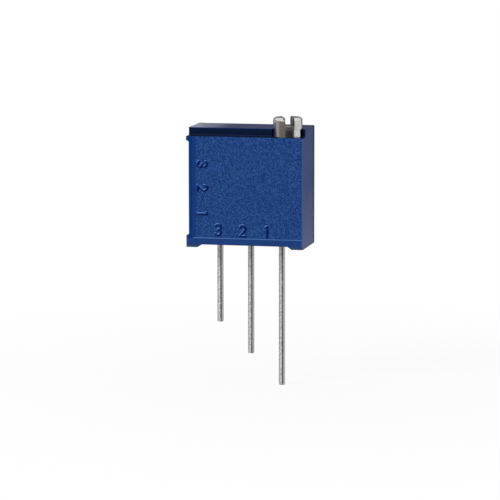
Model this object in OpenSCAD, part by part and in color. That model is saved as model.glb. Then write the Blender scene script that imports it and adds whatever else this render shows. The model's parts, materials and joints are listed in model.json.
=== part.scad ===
// Multi-turn cermet trimmer potentiometer in a 3/8 inch square case, adjusted from the top.
// Millimetres, +Z up. The origin is on the centre lead's axis, in the plane of the board.
// The front face looks along -Y, and the adjustment screw stands at its top right.

/* [Case] */
// Width, from the side feet to the right side
case_w = 9.53; // [9.3:0.01:12.7]
// Depth, from the front face to the back
case_d = 4.83; // [4.6:0.01:6.4]
// Height, from the board to the top face
case_h = 9.53; // [9.3:0.01:12.7]
// Thickness of the side, front and top walls
wall = 0.5; // [0.4:0.01:0.6]
// Thickness of the floor
floor_t = 0.64; // [0.6:0.01:0.9]
// Rounding of the outer edges
edge_r = 0.12; // [0.05:0.01:0.2]
// Width of the smooth border on the left of the front panel
side_border = 0.37; // [0.2:0.01:0.6]
// Height of the smooth border below the front panel
base_border = 0.53; // [0.3:0.01:0.8]
// Depth of the front panel below its borders
panel_recess = 0.06; // [0.03:0.01:0.12]

/* [Feet] */
// Height of the feet, below the case and on its left side
foot_h = 0.21; // [0.1:0.01:0.35]
// Length of each foot at its seat
foot_l = 0.93; // [0.6:0.01:1.3]
// Run of the slope at the inner end of a bottom foot
foot_slope = 0.3; // [0.1:0.01:0.4]
// Run of the slope at the inner end of a side foot
side_slope = 0.1; // [0.05:0.01:0.3]

/* [Top step] */
// Depth of the step along the top front edge
step_d = 1.11; // [0.8:0.01:1.3]
// Height of the step
step_h = 0.63; // [0.4:0.01:0.9]
// Rounding in the step's inner corner
step_r = 0.12; // [0.05:0.01:0.2]
// Gap between the screw head and the pocket behind it
pocket_gap = 0.1; // [0.05:0.01:0.2]

/* [Back] */
// Thickness of the rear cover
cover_t = 0.6; // [0.4:0.01:0.8]
// Width of the rebate that the cover sits in
rebate = 0.25; // [0.2:0.01:0.3]
// Rounding of the rebate's corners
rebate_r = 0.2; // [0.15:0.01:0.4]
// Width of the epoxy line round the cover
seal_w = 0.12; // [0.06:0.01:0.14]
// How far the epoxy lies below the surface round it
seal_sink = 0.03; // [0.01:0.01:0.05]
// Width of each rib that backs the ceramic plate
rib_w = 0.5; // [0.3:0.01:0.8]

/* [Leads] */
// Distance between leads
lead_pitch = 2.54; // [2.4:0.01:2.6]
// Diameter of a lead
lead_d = 0.5; // [0.4:0.01:0.52]
// Diameter of a lead's root, above the floor
root_d = 0.54; // [0.54:0.01:0.6]
// Length of lead 1 below the board plane
lead_1_l = 11.35; // [3:0.01:14]
// Length of lead 2 below the board plane
lead_2_l = 8.85; // [3:0.01:14]
// Length of lead 3 below the board plane
lead_3_l = 6.35; // [3:0.01:14]
// Chamfer on a lead's cut end
lead_chamfer = 0.05; // [0.02:0.01:0.1]
// Length of lead that is soldered, above the floor
lead_grip = 0.65; // [0.5:0.01:0.8]
// From the case's middle to the centre lead
lead_offset = 0.035; // [0:0.005:0.1]
// From the front face to the row of leads
lead_front = 2.41; // [2.3:0.01:2.6]
// Radius of a solder fillet
solder_r = 0.38; // [0.32:0.01:0.4]
// Width of the epoxy-filled trough in the underside
trough_w = 1.3; // [0.9:0.01:1.4]
// Depth of the trough
trough_h = 0.3; // [0.2:0.01:0.32]
// Length of the trough past the outer leads
trough_end = 0.7; // [0.5:0.01:0.75]
// Rounding of the trough's corners
trough_r = 0.1; // [0.05:0.01:0.15]
// Solder above a lead's end, and the rise of a pad above it
solder_cap = 0.1; // [0.05:0.01:0.12]

/* [Adjustment screw] */
// From the right side to the screw's axis
screw_side = 1.48; // [1.46:0.01:1.7]
// From the front face to the screw's axis
screw_front = 1.27; // [1.24:0.01:1.4]
// Diameter of the head
head_d = 2.34; // [1.8:0.01:2.4]
// Height of the head above the top face
head_rise = 0.94; // [0.4:0.01:1.5]
// Rounding of the head's top edge
head_round = 0.24; // [0.1:0.01:0.4]
// Width of the driver slot
slot_w = 0.73; // [0.4:0.01:0.9]
// Depth of the driver slot
slot_depth = 0.69; // [0.3:0.01:0.9]
// Turn of the driver slot from the depth axis, in degrees
slot_turn = 20.5; // [0:0.5:180]
// Diameter of the neck
neck_d = 1.24; // [1.22:0.01:1.4]
// Outer diameter of the thread
thread_d = 1.2; // [1:0.01:1.2]
// Pitch of the thread
thread_pitch = 0.2; // [0.15:0.01:0.2]
// Turns from one end of the travel to the other
turns = 25; // [10:1:25]
// Diameter of the tail
tail_d = 0.76; // [0.5:0.01:0.8]
// Depth of the tail's bearing
tail_bearing = 0.6; // [0.4:0.01:0.62]
// Height of the pedestal round the bearing
pedestal_h = 0.3; // [0.2:0.01:0.4]
// Thickness of the O-ring
o_ring_d = 0.28; // [0.2:0.01:0.3]
// Running gap round each moving piece
run_gap = 0.03; // [0.01:0.01:0.04]

/* [Screw seat] */
// Height of the boss round the neck, from the ledge down
boss_h = 1.15; // [1.1:0.01:1.3]
// Thickness of the boss round the neck
boss_wall = 0.42; // [0.35:0.01:0.5]
// Thickness of the forked retainer
fork_t = 0.2; // [0.15:0.01:0.25]
// Width of the forked retainer
fork_w = 1.5; // [1.4:0.01:1.6]
// Radius of the neck inside the fork
fork_neck_r = 0.42; // [0.3:0.01:0.48]
// Boss below the fork
fork_rise = 0.2; // [0.15:0.01:0.3]
// Boss between the fork and the O-ring
fork_to_ring = 0.2; // [0.15:0.01:0.3]

/* [Element] */
// Thickness of the ceramic plate
plate_t = 0.64; // [0.5:0.01:0.7]
// Gap between the ceramic plate and the walls
plate_gap = 0.05; // [0.02:0.01:0.08]
// Thickness of the printed films
film_t = 0.03; // [0.02:0.01:0.05]
// Width of the tracks and pads
track_w = 0.8; // [0.6:0.01:0.9]
// Width of the printed return conductor
return_w = 0.5; // [0.3:0.01:0.6]
// Width of the rail that the plate's left edge lies against
rail_w = 0.2; // [0.15:0.01:0.3]
// Thickness of the lug that the plate's right edge lies against
lug_t = 0.4; // [0.2:0.01:0.42]
// Height of the printed return conductor's cross run
return_h = 0.15; // [0.1:0.01:0.2]
// Bare ceramic between two films
film_gap = 0.1; // [0.05:0.01:0.15]

/* [Carriage] */
// Height of the carriage
nut_h = 0.9; // [0.7:0.01:0.9]
// Wall round the thread
nut_wall = 0.17; // [0.12:0.01:0.17]
// From the thread's axis to the open front of the nut
nut_mouth = 0.35; // [0.2:0.01:0.4]
// Thickness of the arm
arm_t = 0.83; // [0.6:0.01:0.9]
// Space between the arm and the leads
arm_gap = 0.35; // [0.3:0.01:0.45]
// Length of the arm past the track's edge
arm_end = 0.1; // [0.05:0.01:0.15]
// Length of the guide pad at the arm's end
pad_l = 0.6; // [0.4:0.01:0.9]
// Radius of the posts that hold the wiper
post_r = 0.16; // [0.1:0.01:0.2]
// Thickness of the wiper's base
wiper_t = 0.1; // [0.06:0.01:0.12]
// Height of the wiper's base
wiper_h = 0.5; // [0.4:0.01:0.6]
// From the carriage's middle up to the top of the wiper's base
wiper_rise = 0.15; // [0.1:0.01:0.2]
// From the base's top up to the contacts
contact_rise = 0.57; // [0.4:0.01:0.7]
// Length of a finger's tip past its contact
tip_l = 0.2; // [0.1:0.01:0.25]
// From the collector track's edge to the right post
post_side = 0.5; // [0.4:0.01:0.6]
// Thickness of a wiper finger
finger_t = 0.07; // [0.04:0.01:0.09]
// Width of a wiper finger
finger_w = 0.12; // [0.08:0.01:0.14]
// Fingers on each track
fingers = 5; // [3:1:5]
// Radius of a finger's contact
contact_r = 0.09; // [0.05:0.01:0.1]
// Gap between a contact and its track
contact_gap = 0.02; // [0.01:0.01:0.04]
// Track past the contacts' lowest place
track_spare = 0.25; // [0.1:0.01:0.3]

/* [Hidden] */
$fn = 64;

// Overlap of shapes that are joined or cut
e = 0.01;
// More than the whole part, for cuts that run right through
big = 20;

// Planes of the case
x_foot = -case_w / 2 - lead_offset;
x_left = x_foot + foot_h;
x_right = x_foot + case_w;
y_front = -lead_front;
y_panel = y_front + panel_recess;
y_back = y_front + case_d;
z_under = foot_h;
z_floor = z_under + floor_t;
z_ledge = case_h - step_h;
z_ceiling = z_ledge - wall;
in_left = x_left + wall;
in_right = x_right - wall;
in_front = y_front + wall;
y_cover = y_back - cover_t;

// Screw
screw_x = x_right - screw_side;
screw_y = y_front + screw_front;
head_r = head_d / 2;
pocket_r = head_r + pocket_gap;
neck_r = neck_d / 2;
bore_r = neck_r + run_gap;
boss_r = neck_r + boss_wall;
thread_r = thread_d / 2;
tail_r = tail_d / 2;
z_head_top = case_h + head_rise;
z_head_base = z_ledge + run_gap;
z_boss = z_ledge - boss_h;
z_pedestal = z_floor + pedestal_h;
z_bearing = z_pedestal - tail_bearing;
z_thread_low = z_pedestal + 3 * run_gap;
z_fork = z_boss + fork_rise;
z_ring_low = z_fork + fork_t + fork_to_ring;
ring_groove_r = bore_r - run_gap / 3 - o_ring_d;
ring_groove_h = o_ring_d + 2 * run_gap;

// Leads and element
lead_r = lead_d / 2;
root_r = root_d / 2;
z_lead_top = z_floor + lead_grip;
z_solder_low = z_floor + plate_gap;
z_solder_top = z_lead_top + solder_cap;
y_film = root_r;
y_plate = y_film + film_t;
y_plate_back = y_plate + plate_t;
z_plate_top = z_ceiling - plate_gap;
z_pad_low = z_floor + 2 * plate_gap;
z_pad_top = z_solder_top + solder_cap;

// Carriage, at the middle of its travel
travel = turns * thread_pitch;
z_mid = (z_solder_top + z_boss) / 2;
arm_back = -root_r - arm_gap;
arm_front = arm_back - arm_t;
arm_left = -lead_pitch - track_w / 2 - arm_end;
nut_r = thread_r + run_gap;
nut_half = nut_r + nut_wall;
nut_open = screw_y - nut_mouth;
post_x = [-lead_pitch / 2, track_w / 2 + post_side];
wiper_top = z_mid + wiper_rise;
wiper_low = wiper_top - wiper_h;
post_z = (wiper_low + wiper_top) / 2;
finger_step = (track_w - finger_w) / (fingers - 1);
contact_y = y_film - contact_gap - contact_r;
contact_z = wiper_top + contact_rise;
tip_y = contact_y - tip_l * 0.6;
tip_z = contact_z + tip_l;

// The tracks reach past the contacts at each end of the travel
z_track_low = contact_z - travel / 2 - track_spare;
z_return = z_plate_top - return_h;
z_track_top = z_return - film_gap;

case_colour = [0.15, 0.27, 0.50];
epoxy_colour = [0.07, 0.13, 0.27];
nickel_colour = [0.68, 0.66, 0.62];
tin_colour = [0.70, 0.70, 0.68];
silver_colour = [0.78, 0.77, 0.73];

// Rectangle with exact round corners, from corner a to corner b
module round_rect(a, b, r) {
    translate([a[0] + r, a[1]]) square([b[0] - a[0] - 2 * r, b[1] - a[1]]);
    translate([a[0], a[1] + r]) square([b[0] - a[0], b[1] - a[1] - 2 * r]);
    for (x = [a[0] + r, b[0] - r], y = [a[1] + r, b[1] - r])
        translate([x, y]) circle(r);
}

// Box from corner a to corner b
module box(a, b) {
    translate(a) cube(b - a);
}

// Outline in X and Z, run along Y from y0 to y1
module along_y(y0, y1) {
    translate([0, y1, 0]) rotate([90, 0, 0]) linear_extrude(y1 - y0) children();
}

// Outline in Y and Z, run along X from x0 to x1
module along_x(x0, x1) {
    translate([x0, 0, 0]) rotate([90, 0, 90]) linear_extrude(x1 - x0) children();
}

module at_screw(z) {
    translate([screw_x, screw_y, z]) children();
}

// Block of the case with all its edges rounded, its front at plane y0
module case_block(y0) {
    intersection() {
        linear_extrude(case_h) round_rect([x_left, y0], [x_right, y_back], edge_r);
        along_y(y0 - 1, y_back + 1) round_rect([x_left, z_under], [x_right, case_h], edge_r);
        along_x(x_left - 1, x_right + 1) round_rect([y0, z_under], [y_back, case_h], edge_r);
    }
}

// Feet run the whole depth: two below the case and two on its left side
module feet() {
    deep = wall / 2;
    intersection() {
        linear_extrude(case_h) round_rect([x_foot, y_front], [x_right, y_back], edge_r);
        along_y(y_front, y_back) {
            polygon([[x_right, 0], [x_right, z_under + deep],
                     [x_right - foot_l - foot_slope, z_under + deep],
                     [x_right - foot_l - foot_slope, z_under], [x_right - foot_l, 0]]);
            polygon([[x_foot, 0], [x_foot + foot_l, 0], [x_foot + foot_l + foot_slope, z_under],
                     [x_foot + foot_l + foot_slope, z_under + deep], [x_left + deep, z_under + deep],
                     [x_left + deep, foot_l + side_slope], [x_left, foot_l + side_slope],
                     [x_foot, foot_l]]);
            polygon([[x_foot, case_h], [x_foot, case_h - foot_l], [x_left, case_h - foot_l - side_slope],
                     [x_left + deep, case_h - foot_l - side_slope], [x_left + deep, case_h]]);
        }
    }
}

// Smooth borders: a strip on the left and a band below, proud of the panel
module borders() {
    intersection() {
        case_block(y_front);
        union() {
            box([x_left, y_front, z_under], [x_left + side_border, in_front, case_h]);
            box([x_left, y_front, z_under], [x_right, in_front, z_under + base_border]);
        }
    }
}

// Step along the top front edge, with a round pocket for the screw head
module top_step() {
    along_x(x_foot - 1, x_right + 1) difference() {
        translate([y_front - 1, z_ledge]) square([step_d + 1, step_h + 1]);
        translate([y_front + step_d - step_r, z_ledge]) difference() {
            square(step_r + e);
            translate([0, step_r]) circle(step_r);
        }
    }
    at_screw(z_ledge) cylinder(h = step_h + 1, r = pocket_r);
}

// Hollow of the case, open at the back
module cavity() {
    box([in_left, in_front, z_floor], [in_right, y_cover + e, z_ceiling]);
    box([in_left, y_front + step_d + wall, z_ceiling - e],
        [screw_x - pocket_r - wall, y_cover + e, case_h - wall]);
    along_y(y_cover, y_back + 1)
        round_rect([in_left - rebate, z_floor - rebate],
                   [in_right + rebate, case_h - wall + rebate], rebate_r);
}

// Boss round the neck, joined to the front and right walls
module screw_boss() {
    at_screw(z_boss) cylinder(h = z_ceiling - z_boss + e, r = boss_r);
    box([screw_x - boss_r, in_front - e, z_boss], [in_right + e, screw_y, z_ceiling + e]);
    box([screw_x, screw_y - e, z_boss], [in_right + e, screw_y + boss_r, z_ceiling + e]);
}

module fork_slit() {
    box([screw_x - fork_w / 2, screw_y - fork_w / 2, z_fork],
        [screw_x + fork_w / 2, screw_y + boss_r + e, z_fork + fork_t]);
}

// Trough round the leads, from height z0 up to its roof
module lead_trough(z0) {
    translate([0, 0, z0]) linear_extrude(z_under + trough_h - z0)
        round_rect([-lead_pitch - trough_end, -trough_w / 2],
                   [lead_pitch + trough_end, trough_w / 2], trough_r);
}

module at_leads() {
    for (i = [-1, 0, 1]) translate([i * lead_pitch, 0, 0]) children();
}

module housing() color(case_colour) {
    difference() {
        union() {
            difference() {
                union() {
                    case_block(y_panel);
                    borders();
                    feet();
                }
                cavity();
            }
            screw_boss();
            at_screw(z_floor - e) cylinder(h = pedestal_h + e, r = tail_r + run_gap + wall * 0.7);
            box([in_left - e, in_front - e, z_floor - e],
                [in_left + rail_w, y_plate, z_ceiling + e]);
            box([in_right - rail_w, y_plate - lug_t, z_floor - e],
                [in_right + e, y_plate, z_ceiling + e]);
        }
        top_step();
        at_screw(z_boss - 1) cylinder(h = boss_h + 2, r = bore_r);
        at_screw(z_bearing) cylinder(h = tail_bearing + 1, r = tail_r + run_gap);
        fork_slit();
        lead_trough(0);
        at_leads() cylinder(h = z_floor + 1, r = root_r + run_gap);
    }
}

module rear_cover() color(case_colour) {
    inset = rebate - seal_w;
    along_y(y_cover, y_back)
        round_rect([in_left - inset, z_floor - inset],
                   [in_right + inset, case_h - wall + inset], rebate_r - seal_w / 2);
    for (x = [-0.75, 0.75] * lead_pitch)
        box([x - rib_w / 2, y_plate_back, z_floor + wall], [x + rib_w / 2, y_cover + e, z_plate_top - wall]);
}

module cover_seal() color(epoxy_colour) {
    inset = rebate - seal_w;
    along_y(y_cover, y_back - seal_sink) difference() {
        round_rect([in_left - rebate, z_floor - rebate],
                   [in_right + rebate, case_h - wall + rebate], rebate_r);
        round_rect([in_left - inset, z_floor - inset],
                   [in_right + inset, case_h - wall + inset], rebate_r - seal_w / 2);
    }
}

module base_seal() color(epoxy_colour) {
    difference() {
        lead_trough(z_under + seal_sink);
        at_leads() lead_taper();
    }
}

module substrate() color([0.93, 0.92, 0.88])
    box([in_left + plate_gap, y_plate, z_floor], [in_right - plate_gap, y_plate_back, z_plate_top]);

// Printed film on the front of the ceramic plate
module film(x0, x1, z0, z1) {
    box([x0, y_film, z0], [x1, y_plate, z1]);
}

module resistive_track() color([0.13, 0.11, 0.10])
    film(-lead_pitch - track_w / 2, -lead_pitch + track_w / 2, z_track_low, z_track_top);

module collector_track() color(silver_colour)
    film(-track_w / 2, track_w / 2, z_pad_low, z_track_top);

// From the top end of the resistance track, across and down to lead 1
module pad_1() color(silver_colour) {
    right = lead_pitch + track_w / 2;
    film(-lead_pitch - track_w / 2, -lead_pitch + track_w / 2, z_track_top, z_return + e);
    film(-lead_pitch - track_w / 2, right, z_return, z_return + return_h);
    film(right - return_w, right, z_pad_low, z_return + e);
    film(right - track_w, right, z_pad_low, z_pad_top);
}

module pad_3() color(silver_colour)
    film(-lead_pitch - track_w / 2, -lead_pitch + track_w / 2, z_pad_low, z_track_low);

// Stretch of a lead from the board plane to the floor, where it thickens to its root
module lead_taper() {
    cylinder(h = z_floor, r1 = lead_r, r2 = root_r);
}

// Straight wire with a chamfered end and a thicker root
module lead(x, length) color(tin_colour) translate([x, 0, 0]) {
    translate([0, 0, -length]) cylinder(h = lead_chamfer, r1 = lead_r - lead_chamfer, r2 = lead_r);
    translate([0, 0, lead_chamfer - length]) cylinder(h = length - lead_chamfer, r = lead_r);
    lead_taper();
    translate([0, 0, z_floor]) cylinder(h = lead_grip, r = root_r);
}

module lead_1() lead(lead_pitch, lead_1_l);
module lead_2() lead(0, lead_2_l);
module lead_3() lead(-lead_pitch, lead_3_l);

// Fillet of solder between a lead and its pad, rounded off at both ends
module solder(x) color(silver_colour) {
    slope = solder_r / 2;
    difference() {
        translate([x, y_film, z_solder_low]) {
            cylinder(h = slope, r1 = slope, r2 = solder_r);
            translate([0, 0, slope])
                cylinder(h = z_solder_top - z_solder_low - 2 * slope, r = solder_r);
            translate([0, 0, z_solder_top - z_solder_low - slope])
                cylinder(h = slope, r1 = solder_r, r2 = slope);
        }
        box([x - solder_r, y_film, z_floor], [x + solder_r, y_film + solder_r, z_solder_top]);
        translate([x, 0, 0]) cylinder(h = z_lead_top, r = root_r);
    }
}

module solder_1() solder(lead_pitch);
module solder_2() solder(0);
module solder_3() solder(-lead_pitch);

// Half section of the screw: radius against height, from the tail up
module screw_section() {
    c = thread_pitch / 2;
    z_neck = z_boss - run_gap;
    z_ring_top = z_ring_low + ring_groove_h;
    difference() {
        union() {
            polygon([
                [0, z_bearing + run_gap], [tail_r - c, z_bearing + run_gap],
                [tail_r, z_bearing + run_gap + c], [tail_r, z_thread_low],
                [thread_r - c, z_thread_low], [thread_r, z_thread_low + c],
                [thread_r, z_neck], [neck_r, z_neck], [neck_r, z_head_base],
                [head_r, z_head_base], [head_r, z_head_top - head_round],
                [head_r - head_round, z_head_top], [0, z_head_top]
            ]);
            intersection() {
                translate([head_r - head_round, z_head_top - head_round]) circle(head_round);
                square([head_r, z_head_top]);
            }
        }
        translate([fork_neck_r, z_fork - run_gap]) square([1, fork_t + 2 * run_gap]);
        translate([ring_groove_r, z_ring_low]) square([neck_r, z_ring_top - z_ring_low]);
    }
}

module adjustment_screw() color(nickel_colour) {
    difference() {
        at_screw(0) rotate_extrude() screw_section();
        at_screw(z_head_top - slot_depth) rotate([0, 0, slot_turn])
            translate([-slot_w / 2, -big / 2, 0]) cube([slot_w, big, slot_depth + 1]);
    }
}

module o_ring() color([0.62, 0.20, 0.10])
    at_screw(z_ring_low + ring_groove_h / 2) rotate_extrude()
        translate([ring_groove_r + o_ring_d / 2, 0]) circle(o_ring_d / 2);

// Plate with a U-shaped mouth that straddles the neck, pushed in from behind
module screw_retainer() color([0.60, 0.60, 0.62]) {
    mouth_r = fork_neck_r + run_gap;
    at_screw(z_fork) linear_extrude(fork_t) difference() {
        translate([-fork_w / 2, -fork_w / 2]) square([fork_w, fork_w / 2 + boss_r]);
        circle(mouth_r);
        translate([-mouth_r, -fork_w]) square([2 * mouth_r, fork_w]);
    }
}

module carriage() color([0.90, 0.88, 0.80]) {
    low = z_mid - nut_h / 2;
    top = z_mid + nut_h / 2;
    relief = arm_t * 0.4;
    difference() {
        union() {
            box([screw_x - nut_half, nut_open, low], [screw_x + nut_half, screw_y + nut_half, top]);
            box([arm_left, arm_front, low], [screw_x - nut_half + e, arm_back, top]);
            box([arm_left, in_front + run_gap, low], [arm_left + pad_l, arm_front + e, top]);
        }
        at_screw(0) cylinder(h = case_h, r = nut_r);
        box([arm_left + pad_l + nut_wall, arm_front - e, low + nut_wall],
            [screw_x - nut_half - nut_wall, arm_front + relief, top - nut_wall]);
    }
    for (x = post_x) translate([x, arm_back - e, post_z]) rotate([-90, 0, 0]) {
        cylinder(h = wiper_t + e, r = post_r);
        translate([0, 0, wiper_t + e]) cylinder(h = post_r / 2, r1 = post_r * 1.6, r2 = post_r);
    }
}

// Straight strip between two points of the section, rounded at both ends
module strip(a, b, t) {
    d = b - a;
    translate(a) rotate(atan2(d[1], d[0])) translate([0, -t / 2]) square([norm(d), t]);
    translate(a) circle(t / 2);
    translate(b) circle(t / 2);
}

module finger_section() {
    root = [arm_back + wiper_t / 2, wiper_top - finger_t];
    knee = [contact_y, contact_z];
    strip(root, knee, finger_t);
    translate(knee) circle(contact_r);
    strip(knee, [tip_y, tip_z], finger_t);
}

module wiper() color([0.83, 0.68, 0.36]) {
    difference() {
        box([arm_left + arm_end / 2, arm_back, wiper_low],
            [post_x[1] + 2.5 * post_r, arm_back + wiper_t, wiper_top]);
        for (x = post_x) translate([x, arm_back - wiper_t, post_z]) rotate([-90, 0, 0])
            cylinder(h = 3 * wiper_t, r = post_r);
    }
    for (x = [-lead_pitch, 0], i = [0 : fingers - 1]) {
        left = x - track_w / 2 + i * finger_step;
        along_x(left, left + finger_w) finger_section();
    }
}

housing();
rear_cover();
cover_seal();
base_seal();
substrate();
resistive_track();
collector_track();
pad_1();
pad_3();
lead_1();
lead_2();
lead_3();
solder_1();
solder_2();
solder_3();
adjustment_screw();
o_ring();
screw_retainer();
carriage();
wiper();
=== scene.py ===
"""Finishes, moulded numerals and studio for a square multi-turn trimmer with a slotted top screw."""
import json
import math

import bpy
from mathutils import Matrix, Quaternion, Vector, noise


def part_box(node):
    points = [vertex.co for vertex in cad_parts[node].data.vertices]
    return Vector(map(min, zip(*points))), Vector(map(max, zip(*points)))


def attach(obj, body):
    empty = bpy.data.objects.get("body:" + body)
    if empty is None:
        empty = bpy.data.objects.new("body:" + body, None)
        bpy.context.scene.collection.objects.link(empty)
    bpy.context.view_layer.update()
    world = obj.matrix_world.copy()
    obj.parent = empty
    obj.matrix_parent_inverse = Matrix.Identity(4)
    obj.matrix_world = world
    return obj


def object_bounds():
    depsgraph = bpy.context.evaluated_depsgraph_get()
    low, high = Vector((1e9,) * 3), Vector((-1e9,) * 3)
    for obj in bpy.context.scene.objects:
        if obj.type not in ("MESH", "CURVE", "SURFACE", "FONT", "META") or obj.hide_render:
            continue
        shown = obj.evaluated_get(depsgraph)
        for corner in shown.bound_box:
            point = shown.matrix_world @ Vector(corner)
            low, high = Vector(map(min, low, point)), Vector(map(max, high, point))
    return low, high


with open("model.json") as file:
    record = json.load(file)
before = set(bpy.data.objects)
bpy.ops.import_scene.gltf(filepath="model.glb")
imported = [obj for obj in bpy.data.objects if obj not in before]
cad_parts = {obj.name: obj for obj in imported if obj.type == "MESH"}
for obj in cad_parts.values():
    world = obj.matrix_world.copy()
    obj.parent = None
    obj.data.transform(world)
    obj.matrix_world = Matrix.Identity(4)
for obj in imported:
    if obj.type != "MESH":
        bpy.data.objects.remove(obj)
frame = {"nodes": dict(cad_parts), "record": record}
cad_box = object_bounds()

MM = 0.001

# Planes of the case and the screw, in metres, from the boxes of their nodes
case_low, case_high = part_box("housing")
screw_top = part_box("adjustment_screw")[1].z
FOOT_HEIGHT = 0.21 * MM
EDGE_ROUNDING = 0.12 * MM
SIDE_BORDER = 0.37 * MM
BASE_BORDER = 0.53 * MM
PANEL_RECESS = 0.06 * MM
FILLET = 0.30 * MM
STEP_HEIGHT = 0.63 * MM
POCKET_BACK = 2.6 * MM
SCREW_FROM_SIDE = 1.48 * MM
SCREW_FROM_FRONT = 1.27 * MM
THREAD_PITCH = 0.2 * MM

panel_y = case_low.y + PANEL_RECESS
panel_left = case_low.x + FOOT_HEIGHT + SIDE_BORDER
panel_right = case_high.x - EDGE_ROUNDING
panel_bottom = FOOT_HEIGHT + BASE_BORDER
panel_top = case_high.z - STEP_HEIGHT
screw_axis = Vector((case_high.x - SCREW_FROM_SIDE, case_low.y + SCREW_FROM_FRONT, 0))

# A Mix node's sockets for colours, by number, because their names repeat
MIX_FACTOR = 0
MIX_A = 6
MIX_B = 7
MIX_RESULT = 2


class Bench:
    """A node tree with short ways to add nodes and join them."""

    def __init__(self, tree):
        self.tree = tree

    def feed(self, socket, value):
        """Joins a node's output to a socket, or sets the socket to a plain value."""
        if isinstance(value, bpy.types.NodeSocket):
            self.tree.links.new(value, socket)
        else:
            socket.default_value = value

    def put(self, kind, inputs=None, **settings):
        node = self.tree.nodes.new("ShaderNode" + kind)
        for name, value in settings.items():
            setattr(node, name, value)
        for name, value in (inputs or {}).items():
            self.feed(node.inputs[name], value)
        return node

    def math(self, operation, *values, clamp=False):
        node = self.put("Math", operation=operation, use_clamp=clamp)
        for i, value in enumerate(values):
            self.feed(node.inputs[i], value)
        return node.outputs[0]

    def times(self, *values):
        """Product of masks, shares and numbers."""
        product = values[0]
        for value in values[1:]:
            product = self.math("MULTIPLY", product, value)
        return product

    def vector(self, operation, *values):
        node = self.put("VectorMath", operation=operation)
        for i, value in enumerate(values):
            self.feed(node.inputs[i], value)
        return node.outputs[0]

    def dot(self, a, b):
        return self.put("VectorMath", {0: a, 1: b}, operation="DOT_PRODUCT").outputs["Value"]

    def parts(self, vector):
        """The x, y and z of a vector."""
        return self.put("SeparateXYZ", {"Vector": vector}).outputs

    def blend(self, factor, a, b):
        """Colour a where the factor is 0 and b where it is 1."""
        node = self.put("Mix", data_type="RGBA")
        self.feed(node.inputs[MIX_FACTOR], factor)
        for socket, colour in ((MIX_A, a), (MIX_B, b)):
            self.feed(node.inputs[socket], (*colour, 1) if isinstance(colour, tuple) else colour)
        return node.outputs[MIX_RESULT]

    def range(self, value, low, high, to_low=0.0, to_high=1.0):
        """Maps low to high onto to_low to to_high, and holds still outside."""
        return self.put("MapRange", {"Value": value, "From Min": low, "From Max": high,
                                     "To Min": to_low, "To Max": to_high}).outputs[0]

    def between(self, mask, a, b):
        """Number a where the mask is 0 and b where it is 1."""
        return self.range(mask, 0.0, 1.0, a, b)

    def place(self):
        return self.put("TexCoord").outputs["Object"]

    def normal(self):
        return self.put("NewGeometry").outputs["Normal"]

    def cloud(self, vector, scale, detail=2.0, roughness=0.5):
        return self.put("TexNoise", {"Vector": vector, "Scale": scale, "Detail": detail,
                                     "Roughness": roughness}).outputs[0]

    def use(self, group, **inputs):
        node = self.put("Group", node_tree=group)
        for name, value in inputs.items():
            self.feed(node.inputs[name], value)
        return node.outputs


def effect(name, inputs, outputs):
    """An empty node group: its bench, what goes in and what comes out."""
    tree = bpy.data.node_groups.new(name, "ShaderNodeTree")
    for label, kind, value in inputs:
        tree.interface.new_socket(label, in_out="INPUT", socket_type=kind).default_value = value
    for label, kind in outputs:
        tree.interface.new_socket(label, in_out="OUTPUT", socket_type=kind)
    return Bench(tree), tree.nodes.new("NodeGroupInput").outputs, tree.nodes.new("NodeGroupOutput").inputs


NUMBER = "NodeSocketFloat"
VECTOR = "NodeSocketVector"


def make_zone():
    """Mask of a box-shaped region, with a soft rim."""
    bench, given, out = effect("zone", [("Low", VECTOR, (0, 0, 0)), ("High", VECTOR, (1, 1, 1)),
                                        ("Rim", NUMBER, 0.02 * MM)], [("Mask", NUMBER)])
    place = bench.place()
    inside = None
    for offset in (bench.vector("SUBTRACT", place, given["Low"]),
                   bench.vector("SUBTRACT", given["High"], place)):
        for axis in bench.parts(offset):
            inside = axis if inside is None else bench.math("MINIMUM", inside, axis)
    bench.feed(out["Mask"], bench.math("DIVIDE", inside, given["Rim"], clamp=True))
    return bench.tree


# Where noise turns into ridges and bright crests
RIDGE_WIDTH = 0.22
CRESTS = (0.42, 0.62)


def make_grain():
    """Spark-eroded mould grain: winding ridges and their bright crests."""
    bench, given, out = effect("mould grain", [("Size", NUMBER, 0.1 * MM)],
                               [("Height", NUMBER), ("Crests", NUMBER)])
    scale = bench.math("DIVIDE", 1.0, given["Size"])
    place = bench.place()
    winding = bench.cloud(place, scale, detail=3.0, roughness=0.6)
    ridges = bench.math("ABSOLUTE", bench.math("SUBTRACT", winding, 0.5))
    bench.feed(out["Height"], bench.range(ridges, 0.0, RIDGE_WIDTH, 1.0, 0.0))
    crests = bench.cloud(place, scale, detail=2.0, roughness=0.6)
    bench.feed(out["Crests"], bench.range(crests, *CRESTS))
    return bench.tree


# Where noise turns into soft shade, rubs and dust, and what counts as facing up
SHADE = (0.3, 0.7)
RUB_STRETCH = (1.0, 6.0, 0.35)
RUB_FINENESS = 5.0
RUBS = (0.62, 0.7)
FLECKS_PER_METRE = 9000.0
FLECKS = (0.6, 0.72)
FACING_UP = (0.5, 0.95)


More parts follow.
